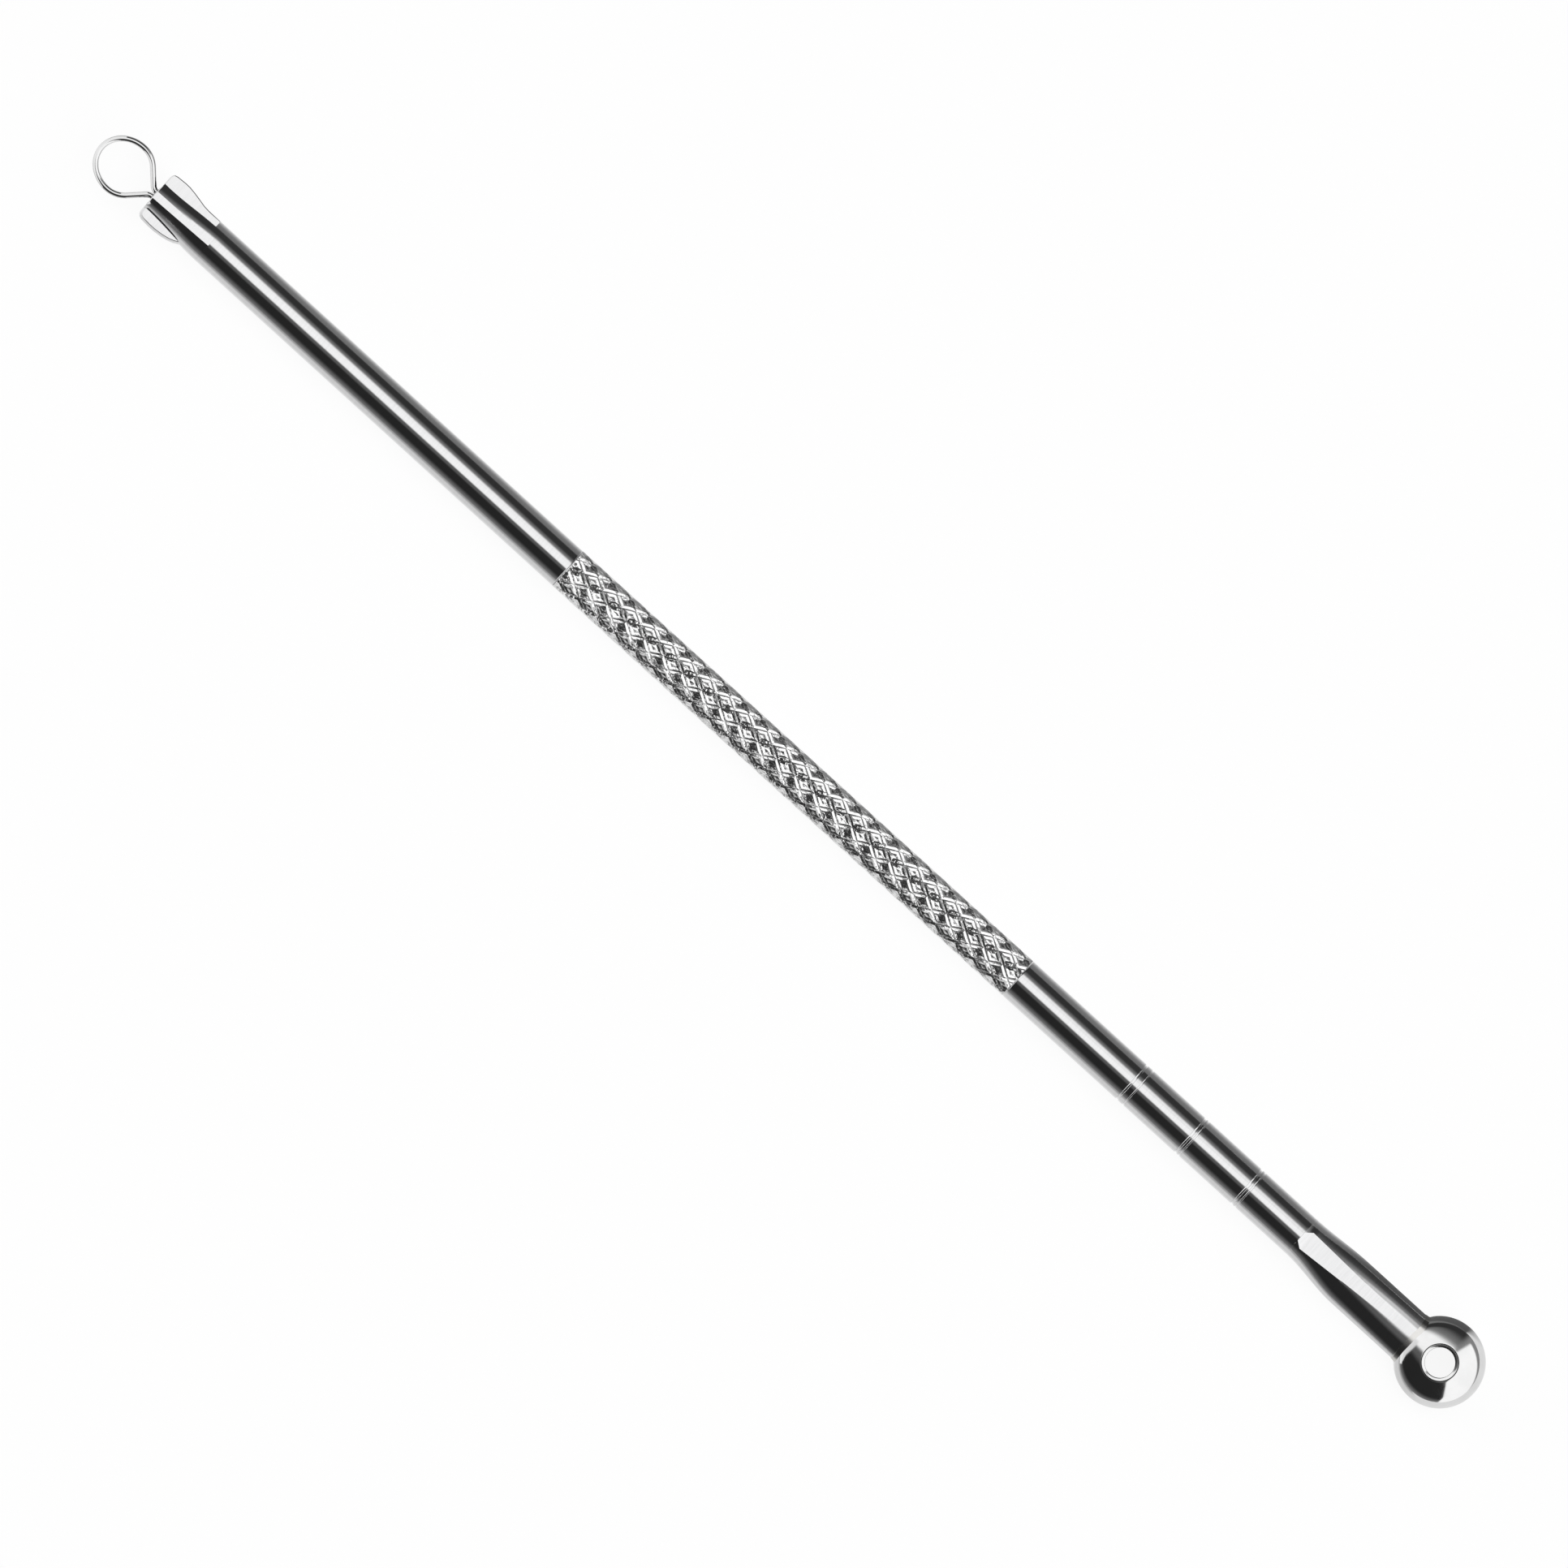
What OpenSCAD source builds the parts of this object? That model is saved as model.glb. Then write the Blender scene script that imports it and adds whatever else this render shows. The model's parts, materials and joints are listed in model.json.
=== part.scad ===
// Blackhead extractor: one round steel bar with a knurled grip, a fine wire
// loop crimped into its front end and a small domed cup with a hole brazed to
// the pressed neck at its rear end. The tool lies flat along X with the loop
// at -X, the cup at +X and the dome of the cup upwards.

/* [Handle bar] */
// Diameter of the plain round shaft
shaft_d = 3; // [2.6:0.1:3.6]
// Plain shaft between the front end face and the knurl
front_len = 36.15; // [20:0.05:60]
// Plain shaft between the knurl and the first pair of ring grooves
rear_len = 10.2; // [4:0.2:20]
// Distance between neighbouring pairs of ring grooves
ring_pitch = 5; // [2:0.5:8]
// Number of pairs of ring grooves
ring_pairs = 3; // [1:1:4]
// Distance between the two grooves of a pair
ring_gap = 0.4; // [0.3:0.05:0.8]
// Radius of the round bottom of a ring groove
ring_r = 0.1; // [0.06:0.02:0.14]
// Plain shaft between the last pair of ring grooves and the neck
tail_len = 4.5; // [2:0.5:10]

/* [Knurl] */
// Outside diameter over the knurl
knurl_d = 3; // [2.6:0.1:3.6]
// Length of the knurled grip
knurl_len = 39.6; // [20:0.1:50]
// Length of one diamond along the bar
knurl_pitch = 1.65; // [1.3:0.05:2.4]
// Number of diamonds round the bar
knurl_starts = 9; // [7:1:11]
// Width of the grooves between the diamonds
knurl_groove = 0.22; // [0.14:0.02:0.3]
// Depth of the grooves between the diamonds
knurl_depth = 0.15; // [0.08:0.01:0.2]

/* [Crimped end] */
// Length of the crimped end
crimp_len = 4.8; // [4:0.1:7]
// Diameter of the ridge at the end face
crimp_d = 2.5; // [2.2:0.1:2.9]
// Depth of the step at the back of the crimp
crimp_step = 0.03; // [0.01:0.01:0.06]
// Width over the two pressed ears
ear_w = 3.8; // [3.6:0.1:4.4]
// Thickness of the pressed ears
ear_t = 1.1; // [0.8:0.1:1.4]
// Length of the ears along the bar
ear_len = 4; // [3:0.1:4]
// Length of the ears at their full width
ear_full = 1.6; // [1:0.1:2]
// Radius of the ears' front corners
ear_corner_r = 0.35; // [0.1:0.05:0.5]

/* [Wire loop] */
// Diameter of the wire
wire_d = 0.4; // [0.3:0.05:0.5]
// Outside width of the loop across the bar
loop_d = 3.96; // [3:0.02:5]
// Reach of the wire's middle line in front of the loop's widest place
loop_reach = 2.04; // [1.6:0.02:2.6]
// Angle between each leg and the bar
leg_angle = 45; // [35:1:50]
// Radius of the bend where the legs turn parallel
leg_bend_r = 0.5; // [0.4:0.05:0.7]
// Gap between the two parallel legs
leg_gap = 0.02; // [0.02:0.01:0.06]
// Length of the legs held inside the bar
leg_hold = 4; // [2:0.1:5]
// Clearance round the two legs in their bore
leg_clear = 0.04; // [0.03:0.01:0.06]

/* [Neck] */
// Length of the pressed neck up to the cup
neck_len = 9.7; // [7:0.1:14]
// Length over which the neck widens
neck_flare = 4.3; // [3:0.1:6]
// Width of the neck at the cup
neck_w = 3.6; // [3.2:0.1:4]
// Thickness of the neck at the cup
neck_t = 2; // [1.6:0.1:2.4]
// Width of the pressed flat at the front of the neck
flat_w = 1.5; // [1:0.1:1.8]
// Length of the ramp down to the pressed flat
flat_ramp = 0.45; // [0.3:0.05:0.8]

/* [Cup] */
// Outside diameter of the cup
cup_d = 6; // [5:0.1:7]
// Wall of the cup
cup_wall = 0.45; // [0.35:0.05:0.6]
// Radius of the shallow crown of the dome
crown_r = 4.75; // [4:0.05:6]
// Radius of the rounded shoulder below the crown
shoulder_r = 1.4; // [1:0.05:1.8]
// Height of the crown above the top of the neck
cup_rise = 0.6; // [0.4:0.05:0.9]
// How far the top of the neck reaches into the cup's outline
cup_bite = 0.55; // [0.4:0.05:0.7]
// Diameter of the hole in the crown
hole_d = 1.9; // [1.4:0.1:2.2]
// Width of the bevel round the hole
lip_w = 0.22; // [0.1:0.02:0.3]
// Depth of the bevel round the hole
lip_depth = 0.12; // [0.06:0.02:0.16]
// Thickness of the braze between the neck and the cup
braze_t = 0.2; // [0.1:0.02:0.3]
// How far the braze stands proud of the neck
braze_proud = 0.05; // [0.03:0.01:0.08]

/* [Hidden] */

// Overlap that joins solids of one piece, and length by which cuts run past
join = 0.05;
past = 1;

// Heights: the bar lies on the floor, and so does the rim of the cup
shaft_r = shaft_d / 2;
axis_z = max(shaft_d, knurl_d) / 2;

// Stations along the bar, from the front end face at zero
knurl_x = front_len;
knurl_end_x = knurl_x + knurl_len;
ring_x = knurl_end_x + rear_len;
neck_x = ring_x + (ring_pairs - 1) * ring_pitch + tail_len;
seam_x = neck_x + neck_len;
cup_r = cup_d / 2;
cup_x = seam_x + cup_r - cup_bite;

// Wire loop: its mean radius, and its centre found from the legs' run
wire_r = wire_d / 2;
loop_r = loop_d / 2 - wire_r;
leg_y = wire_r + leg_gap / 2;
solder_swell = 0.07;
leg_free = solder_swell + 0.01;
bend_y = leg_y + leg_bend_r * (1 - cos(leg_angle));
leg_run = (loop_r * cos(leg_angle) - bend_y) / sin(leg_angle);
bend_x = -leg_free - leg_bend_r * sin(leg_angle);
loop_x = bend_x - leg_run * cos(leg_angle) - loop_r * sin(leg_angle);
leg_start_a = 90 - leg_angle;
bore_r = leg_y + wire_r + leg_clear;
bore_depth = leg_hold + 2 * wire_d;

// The origin is under the middle of the whole length
front_x = loop_x - loop_reach - wire_r;
origin_x = (front_x + cup_x + cup_r) / 2;

// Knurl: rows of diamonds, each row turned half a diamond from the last
knurl_r = knurl_d / 2;
knurl_rows = 2 * round(knurl_len / knurl_pitch);
row_x = knurl_len / knurl_rows;
row_turn = 180 / knurl_starts;
row_arc = knurl_r * row_turn * PI / 180;
pad_reach = row_x * row_arc / sqrt(row_x * row_x + row_arc * row_arc);
pad_scale = 1 - knurl_groove / 2 / pad_reach;
root_r = knurl_r - knurl_depth;
edge_drop = 0.03;
edge_r = min(knurl_r, shaft_r) - edge_drop;

// Cup: the crown's ball and the shoulder's ring touch at the angle turn_a
cup_top = axis_z + neck_t / 2 + cup_rise;
shoulder_x = cup_r - shoulder_r;
turn_a = asin(shoulder_x / (crown_r - shoulder_r));
crown_z = cup_top - crown_r;
shoulder_z = crown_z + (crown_r - shoulder_r) * cos(turn_a);
hole_r = hole_d / 2;
lip_top_z = crown_z + sqrt(crown_r * crown_r - (hole_r + lip_w) * (hole_r + lip_w));

// Neck: stations where the section is drawn, close together on the ramp. The
// section starts a little under the shaft and turns into a flattened oval
neck_drop = 0.02;
neck_power = 2.5;
flat_fade = 0.35;
flat_least = 0.1;
ramp_steps = 5;
neck_steps = 20;
arc_steps = 9;
neck_reach = cup_x - shoulder_x - neck_x;
neck_stations = [
    -join,
    for (i = [0:ramp_steps - 1]) flat_ramp * i / ramp_steps,
    for (i = [0:neck_steps]) flat_ramp + (neck_reach - flat_ramp) * i / neck_steps
];

// Smooth step from 0 to 1
function ease(t) = let (c = max(0, min(1, t))) c * c * (3 - 2 * c);

// Point on a round bar at distance r from its axis, turned by angle a
function on_bar(x, r, a) = [x, r * sin(a), r * cos(a)];

// Round cylinder along X from x = 0
module rod(r, len) {
    rotate([0, 90, 0]) cylinder(h = len, r = r, $fn = 96);
}

// Vertices of one row of the knurl: per diamond the groove crossing, the two
// sides of the land and its crown, then its front and back tips
function row_angle(j, i) = (2 * i + j % 2) * row_turn;
function row_points(j) = let (
    x = knurl_x + j * row_x,
    last = j == 0 || j == knurl_rows,
    r = last ? edge_r : knurl_r
) [
    for (i = [0:knurl_starts - 1]) let (a = row_angle(j, i), c = a + row_turn) each [
        on_bar(x, root_r, a),
        on_bar(x, r, c - row_turn * pad_scale),
        on_bar(x, r, c),
        on_bar(x, r, c + row_turn * pad_scale),
        on_bar(x - (j == 0 ? 0 : row_x * pad_scale), r, c),
        on_bar(x + (j == knurl_rows ? 0 : row_x * pad_scale), r, c)
    ]
];

// Index of vertex k of diamond i in row j, counted round the bar
per_pad = 6;
function at(j, i, k) =
    (j * knurl_starts + (i + knurl_starts) % knurl_starts) * per_pad + k;
// Groove crossing of row j that lies at the front or back tip of diamond i
function tip(j, i, side) = at(j + side, i + (j % 2), 0);
function back_faces(j, i) = let (t = tip(j, i, 1)) [
    [at(j, i, 1), at(j, i, 2), at(j, i, 5)],
    [at(j, i, 2), at(j, i, 3), at(j, i, 5)],
    [at(j, i, 0), at(j, i, 1), t],
    [at(j, i, 1), at(j, i, 5), t],
    [at(j, i, 3), at(j, i + 1, 0), t],
    [at(j, i, 5), at(j, i, 3), t]
];
function front_faces(j, i) = [
    for (f = [
        [at(j, i, 1), at(j, i, 4), at(j, i, 2)],
        [at(j, i, 2), at(j, i, 4), at(j, i, 3)],
        [at(j, i, 0), tip(j, i, -1), at(j, i, 1)],
        [at(j, i, 1), tip(j, i, -1), at(j, i, 4)],
        [at(j, i, 3), tip(j, i, -1), at(j, i + 1, 0)],
        [at(j, i, 4), tip(j, i, -1), at(j, i, 3)]
    ]) f
];

module knurl() {
    count = (knurl_rows + 1) * knurl_starts * per_pad;
    points = [
        for (j = [0:knurl_rows]) each row_points(j),
        [knurl_x, 0, 0],
        [knurl_end_x, 0, 0]
    ];
    faces = [
        for (j = [0:knurl_rows - 1], i = [0:knurl_starts - 1]) each back_faces(j, i),
        for (j = [1:knurl_rows], i = [0:knurl_starts - 1]) each front_faces(j, i),
        for (i = [0:knurl_starts - 1], k = [0:3])
            [at(0, i, k), count, k == 3 ? at(0, i + 1, 0) : at(0, i, k + 1)],
        for (i = [0:knurl_starts - 1], k = [0:3])
            [at(knurl_rows, i, k),
             k == 3 ? at(knurl_rows, i + 1, 0) : at(knurl_rows, i, k + 1), count + 1]
    ];
    polyhedron(points, faces, convexity = 4);
}

// Half of the neck's section at station s, from the top flat's edge round the
// side to the flat on the underside, grown outwards by grow
function neck_half(s, grow) = let (
    start_r = shaft_r - neck_drop,
    a = start_r + (neck_w / 2 - start_r) * ease(s / neck_flare) + grow,
    b = start_r + (neck_t / 2 - start_r) * ease(s / neck_len) + grow,
    n = 2 + (neck_power - 2) * ease(s / neck_len),
    fade = 1 - flat_fade * max(0, s) / neck_len,
    flat = max(flat_least, flat_w / 2 * sqrt(max(0, min(1, s / flat_ramp))) * fade),
    start = acos(pow(flat / a, n / 2))
) [
    for (i = [0:2 * arc_steps]) let (
        t = start * (1 - i / arc_steps),
        side = t < 0 ? -1 : 1
    ) [a * pow(cos(t), 2 / n), side * b * pow(sin(abs(t)), 2 / n)]
];
function neck_ring(s, grow) = let (half = neck_half(s, grow), last = 2 * arc_steps) [
    for (i = [0:last]) [neck_x + s, half[i][0], axis_z + half[i][1]],
    for (i = [0:last]) [neck_x + s, -half[last - i][0], axis_z + half[last - i][1]]
];

// Faces of a closed tube of rings that run clockwise seen from its far end
function tube_faces(rings, sides) = [
    [for (i = [0:sides - 1]) sides - 1 - i],
    [for (i = [0:sides - 1]) (rings - 1) * sides + i],
    for (r = [0:rings - 2], i = [0:sides - 1]) let (
        a = r * sides + i,
        b = r * sides + (i + 1) % sides
    ) each [[a, b, a + sides], [b, b + sides, a + sides]]
];

module neck(grow) {
    points = [for (s = neck_stations) each neck_ring(s, grow)];
    polyhedron(points, tube_faces(len(neck_stations), 4 * arc_steps + 2), convexity = 4);
}

// Outline of both pressed ears, seen from above, with round front corners
// and a smooth run-out into the ridge
corner_steps = 6;
ear_steps = 16;
ear_side = [
    for (i = [0:corner_steps]) let (a = 90 * i / corner_steps) [
        ear_corner_r * (1 - sin(90 - a)),
        ear_w / 2 - ear_corner_r * (1 - sin(a))
    ],
    for (i = [0:ear_steps]) let (t = i / ear_steps) [
        ear_full + (ear_len - ear_full) * t,
        ear_w / 2 + (crimp_d / 2 - ear_w / 2) * ease(t)
    ]
];
module ears() {
    last = len(ear_side) - 1;
    translate([0, 0, axis_z]) linear_extrude(height = ear_t, center = true)
        polygon([
            for (p = ear_side) p,
            for (i = [0:last]) [ear_side[last - i][0], -ear_side[last - i][1]]
        ]);
}

// Solid along the bar's axis, lifted from x = 0 to its place
module along(x) {
    translate([x, 0, axis_z]) children();
}

module ring_groove(x) {
    along(x) rotate([0, 90, 0]) rotate_extrude($fn = 96)
        translate([shaft_r, 0]) circle(r = ring_r, $fn = 24);
}

// Half outline of the cup, grown outwards by grow and cut off at height low
module cup_outline(grow, low) {
    tall = 2 * crown_r;
    intersection() {
        translate([0, low]) square([tall, tall]);
        union() {
            intersection() {
                translate([0, crown_z]) circle(r = crown_r + grow, $fn = 192);
                translate([0, crown_z]) polygon([[0, 0], [0, tall], [tall * tan(turn_a), tall]]);
            }
            translate([shoulder_x, shoulder_z]) circle(r = shoulder_r + grow, $fn = 96);
            translate([0, low]) square([cup_r + grow, shoulder_z - low]);
        }
    }
}
module cup_body(grow, low) {
    translate([cup_x, 0, 0]) rotate_extrude($fn = 192) cup_outline(grow, low);
}

module handle_bar() {
    color("silver") translate([-origin_x, 0, 0]) difference() {
        union() {
            along(0) rotate([0, 90, 0])
                cylinder(h = crimp_len, r1 = crimp_d / 2, r2 = shaft_r - crimp_step, $fn = 96);
            ears();
            along(crimp_len) rod(shaft_r, knurl_x + join - crimp_len);
            translate([0, 0, axis_z]) knurl();
            along(knurl_end_x - join) rod(shaft_r, neck_x + join - knurl_end_x);
            neck(0);
        }
        along(-past) rod(bore_r, bore_depth + past);
        for (i = [0:ring_pairs - 1], side = [-1, 1])
            ring_groove(ring_x + i * ring_pitch + side * ring_gap / 2);
        cup_body(braze_t, -past);
    }
}

// Middle line of the wire as points with their heading in degrees: out of the
// bore along one leg, round the loop and back along the other leg
bend_steps = 6;
loop_steps = 44;
function leg_line() = [
    [leg_hold, leg_y, 180],
    for (i = [0:bend_steps]) let (a = leg_angle * i / bend_steps) [
        -leg_free - leg_bend_r * sin(a),
        leg_y + leg_bend_r * (1 - cos(a)),
        180 - a
    ]
];
wire_line = let (leg = leg_line(), last = bend_steps + 1) [
    each leg,
    for (i = [0:loop_steps]) let (
        a = leg_start_a + (360 - 2 * leg_start_a) * i / loop_steps,
        reach = cos(a) < 0 ? loop_reach : loop_r
    ) [loop_x + reach * cos(a), loop_r * sin(a), atan2(loop_r * cos(a), -reach * sin(a))],
    for (i = [0:last]) let (p = leg[last - i]) [p[0], -p[1], -p[2] + 180]
];
wire_sides = 12;
module wire() {
    rings = len(wire_line);
    points = [
        for (p = wire_line, k = [0:wire_sides - 1]) let (a = 360 * k / wire_sides) [
            p[0] - wire_r * cos(a) * sin(p[2]),
            p[1] + wire_r * cos(a) * cos(p[2]),
            wire_r * sin(a)
        ]
    ];
    polyhedron(points, tube_faces(rings, wire_sides), convexity = 4);
}
module wire_loop() {
    color("gainsboro") translate([-origin_x, 0, axis_z]) wire();
}

// Solder that fills the bore round the legs and swells a little at its mouth
module loop_solder() {
    swell_r = (bore_r * bore_r + solder_swell * solder_swell) / 2 / solder_swell;
    color("darkgray") translate([-origin_x, 0, axis_z]) difference() {
        union() {
            rod(bore_r, bore_depth);
            intersection() {
                translate([swell_r - solder_swell, 0, 0]) sphere(r = swell_r, $fn = 96);
                translate([-solder_swell, 0, 0]) rod(bore_r, solder_swell + join);
            }
        }
        for (side = [-1, 1])
            translate([-past, side * leg_y, 0]) rod(wire_r, past + leg_hold);
    }
}

module cup_head() {
    color("lightgray") translate([-origin_x, 0, 0]) difference() {
        cup_body(0, 0);
        cup_body(-cup_wall, -past);
        translate([cup_x, 0, crown_z]) cylinder(h = crown_r + past, r = hole_r, $fn = 96);
        translate([cup_x, 0, lip_top_z - lip_depth])
            cylinder(h = 2 * lip_depth, r1 = hole_r, r2 = hole_r + 2 * lip_w, $fn = 96);
    }
}

module cup_braze() {
    color("darkgray") translate([-origin_x, 0, 0]) difference() {
        intersection() {
            neck(braze_proud);
            cup_body(braze_t, -past);
        }
        cup_body(0, -2 * past);
    }
}

handle_bar();
wire_loop();
loop_solder();
cup_head();
cup_braze();
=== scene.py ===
# %% [markdown]
# # A blackhead extractor, modelled in Blender
#
# The tool is a slim steel bar with a wire loop at one end and a small domed
# cup at the other. This lesson builds it piece by piece on top of its CAD
# model, in the same place and to the same size, so that each piece can take
# over from its CAD solid. Run the cells from the top. Most of them print what
# they made.

import json
import math

import bmesh
import bpy
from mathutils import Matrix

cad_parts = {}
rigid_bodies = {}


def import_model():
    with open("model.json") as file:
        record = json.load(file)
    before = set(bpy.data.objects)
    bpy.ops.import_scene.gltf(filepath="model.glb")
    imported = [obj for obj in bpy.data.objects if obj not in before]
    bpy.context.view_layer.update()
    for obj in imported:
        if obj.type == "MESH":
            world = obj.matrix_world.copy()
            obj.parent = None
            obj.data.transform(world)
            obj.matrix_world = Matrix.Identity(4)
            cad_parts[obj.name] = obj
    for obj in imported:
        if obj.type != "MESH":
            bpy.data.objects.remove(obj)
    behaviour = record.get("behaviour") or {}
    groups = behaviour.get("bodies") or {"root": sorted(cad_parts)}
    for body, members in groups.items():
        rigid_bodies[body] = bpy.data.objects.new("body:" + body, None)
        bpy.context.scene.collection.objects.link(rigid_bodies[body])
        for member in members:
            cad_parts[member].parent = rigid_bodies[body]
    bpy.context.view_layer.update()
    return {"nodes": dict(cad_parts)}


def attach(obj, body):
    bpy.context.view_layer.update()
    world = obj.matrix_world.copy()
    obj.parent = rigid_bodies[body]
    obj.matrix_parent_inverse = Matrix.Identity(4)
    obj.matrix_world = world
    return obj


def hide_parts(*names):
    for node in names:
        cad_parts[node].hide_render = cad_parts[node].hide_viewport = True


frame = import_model()
mm = 0.001
print("CAD nodes:", ", ".join(sorted(frame["nodes"])))


# %% [markdown]
# ## Helpers
#
# Every piece starts as an empty mesh at the world's origin and is opened for
# editing straight away. What is added in edit mode then has its real place in
# the mesh, and the finished object is neither moved nor turned.
# `pick` selects by place, as a box select would by hand, and `reshape` moves
# each vertex by a rule, as proportional editing would.

# %% Helpers for modelling
def rest():
    """Back to object mode with nothing selected."""
    if bpy.context.mode != "OBJECT":
        bpy.ops.object.mode_set(mode="OBJECT")
    bpy.ops.object.select_all(action="DESELECT")


def begin(name):
    """A new empty mesh at the origin, open for editing."""
    rest()
    bpy.ops.object.add(type="MESH")
    piece = bpy.context.object
    piece.name = name
    piece.data.name = name
    bpy.ops.object.mode_set(mode="EDIT")
    return piece


def edit(piece):
    """Open a finished mesh again."""
    rest()
    piece.select_set(True)
    bpy.context.view_layer.objects.active = piece
    bpy.ops.object.mode_set(mode="EDIT")


def pick(test):
    """Select the vertices whose place passes the test."""
    bpy.ops.mesh.select_all(action="DESELECT")
    mesh = bpy.context.object.data
    bm = bmesh.from_edit_mesh(mesh)
    for v in bm.verts:
        if test(v.co):
            v.select = True
    bm.select_mode = {"VERT"}
    bm.select_flush_mode()
    bmesh.update_edit_mesh(mesh)


def reshape(piece, rule):
    """Move every vertex to the place that the rule gives it, and say how many moved."""
    edit(piece)
    bm = bmesh.from_edit_mesh(piece.data)
    moved = 0
    for v in bm.verts:
        place = rule(v.co)
        if place is not None:
            v.co = place
            moved += 1
    bmesh.update_edit_mesh(piece.data)
    rest()
    return moved


def trace(points, closed=False):
    """Draw a line of edges by placing a vertex and extruding it from point to point."""
    bpy.ops.mesh.primitive_plane_add(size=mm, location=points[0])
    bpy.ops.mesh.merge(type="CENTER")
    for last, this in zip(points, points[1:]):
        step = [b - a for a, b in zip(last, this)]
        bpy.ops.mesh.extrude_region_move(TRANSFORM_OT_translate={"value": step})
    if closed:
        ends = (points[0], points[-1])
        pick(lambda co: any(math.dist(co, p) < 1e-6 for p in ends))
        bpy.ops.mesh.edge_face_add()
        bpy.ops.mesh.select_linked()


def smooth(piece, crease):
    """Shade smooth, but keep the edges that are sharper than the crease."""
    rest()
    piece.select_set(True)
    bpy.context.view_layer.objects.active = piece
    bpy.ops.object.shade_smooth_by_angle(angle=math.radians(crease))


def finish(piece, node):
    """Point the faces outwards and let the piece take over from its CAD node."""
    edit(piece)
    bpy.ops.mesh.select_all(action="SELECT")
    bpy.ops.mesh.normals_make_consistent(inside=False)
    rest()
    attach(piece, "root")
    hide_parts(node)
    size = [round(side / mm, 3) for side in piece.dimensions]
    print(piece.name, "takes over from", node, size, "mm,", len(piece.data.polygons), "faces")


# %% [markdown]
# ## The bar, from its crimped end to the knurl
#
# The real bar is one round rod, 3 mm thick. Its front end was drilled for the
# wire and squeezed in a press, so it is a little thinner there. A rod is best
# drawn as one ring that is pulled along its axis: here it starts at the bottom
# of the drilled hole, comes out of the end face, turns round the edge and runs
# back along the outside. Rings close to the ends of each plain length keep its
# long faces evenly shaded.

# %% Front of the bar
axis_z = 1.5 * mm
shaft_r = 1.5 * mm
sides = 128
bar_x = -55.3828 * mm
bore_r = 0.52 * mm
bore_len = 4.8 * mm
crimp_len = 4.8 * mm
crimp_r = 1.25 * mm
edge_r = 0.06 * mm
crimp_end = bar_x + crimp_len
knurl_x = bar_x + 36.15 * mm
knurl_len = 39.45 * mm
knurl_end = knurl_x + knurl_len
seam_gap = 0.03 * mm
support = 0.1 * mm


def draw_ring(x, radius, fill="NOTHING"):
    """A ring round the bar's axis."""
    bpy.ops.mesh.primitive_circle_add(
        vertices=sides,
        radius=radius,
        fill_type=fill,
        location=(x, 0, axis_z),
        rotation=(0, math.pi / 2, 0),
    )


def pull(length, scale=1.0):
    """Extrude the selected ring along the bar and resize what comes out."""
    bpy.ops.mesh.extrude_region_move(TRANSFORM_OT_translate={"value": (length, 0, 0)})
    bpy.ops.transform.resize(value=(1, scale, scale), center_override=(0, 0, axis_z))


def run(stations):
    """Pull the ring through a list of (x, radius), the first of which it is at."""
    for (x0, r0), (x1, r1) in zip(stations, stations[1:]):
        pull(x1 - x0, r1 / r0)


def ease(t):
    """Smooth step from 0 to 1."""
    t = max(0.0, min(1.0, t))
    return t * t * (3 - 2 * t)


def mix(a, b, share):
    """The value between a and b."""
    return a + (b - a) * share


stations = [(bar_x + bore_len, bore_r), (bar_x, bore_r), (bar_x, crimp_r - edge_r)]
for i in range(1, 5):
    turn = math.radians(22.5 * i)
    edge_x = bar_x + edge_r * (1 - math.cos(turn))
    stations.append((edge_x, crimp_r - edge_r * (1 - math.sin(turn))))
for i in range(1, 13):
    share = i / 12
    grown = mix(crimp_r, shaft_r, ease(share))
    stations.append((bar_x + edge_r + (crimp_len - edge_r) * share, grown))
for x in (crimp_end + 0.01 * mm, crimp_end + support, knurl_x - support, knurl_x - seam_gap):
    stations.append((x, shaft_r))

bar = begin("handle_bar")
draw_ring(*stations[0], fill="NGON")
run(stations)
bpy.ops.mesh.delete(type="ONLY_FACE")
print("front of the bar:", len(stations), "rings of", sides)

# %% [markdown]
# ## Pressing flats
#
# The press left a narrow flat along the top of the squeezed end, and the neck
# behind the grip is pressed flat as well. Both are modelled as they are made:
# every vertex of the round rod is moved to where the die moves the steel. Half
# of a section is a straight flat from its middle to its edge, and from there a
# curve down to the side. With a crease of its own angle the curve is the round
# of the rod, and with a crease of zero it is a quarter of an oval.

# %% The die
flat_turn = 11 * 2 * math.pi / sides


def press(turn, inner, edge, edge_z, reach, crease):
    """Where steel at this turn from the top goes, on one side, as (y, z)."""
    if turn <= flat_turn:
        share = turn / flat_turn
        return inner + (edge - inner) * share, edge_z
    share = (turn - flat_turn) / (math.pi / 2 - flat_turn)
    now = crease + (math.pi / 2 - crease) * share
    out = (math.sin(now) - math.sin(crease)) / (1 - math.sin(crease))
    return edge + (reach - edge) * out, edge_z * math.cos(now) / math.cos(crease)


# %% Press flat on the crimped end
flat_front = {1: 0.18 * mm, -1: 0.34 * mm}
flat_back = 0.22 * mm
crease_front = {1: math.radians(32), -1: math.asin(flat_front[-1] / crimp_r)}
crease_back = math.asin(flat_back / shaft_r)
lean = math.tan(math.radians(1.2))


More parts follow.
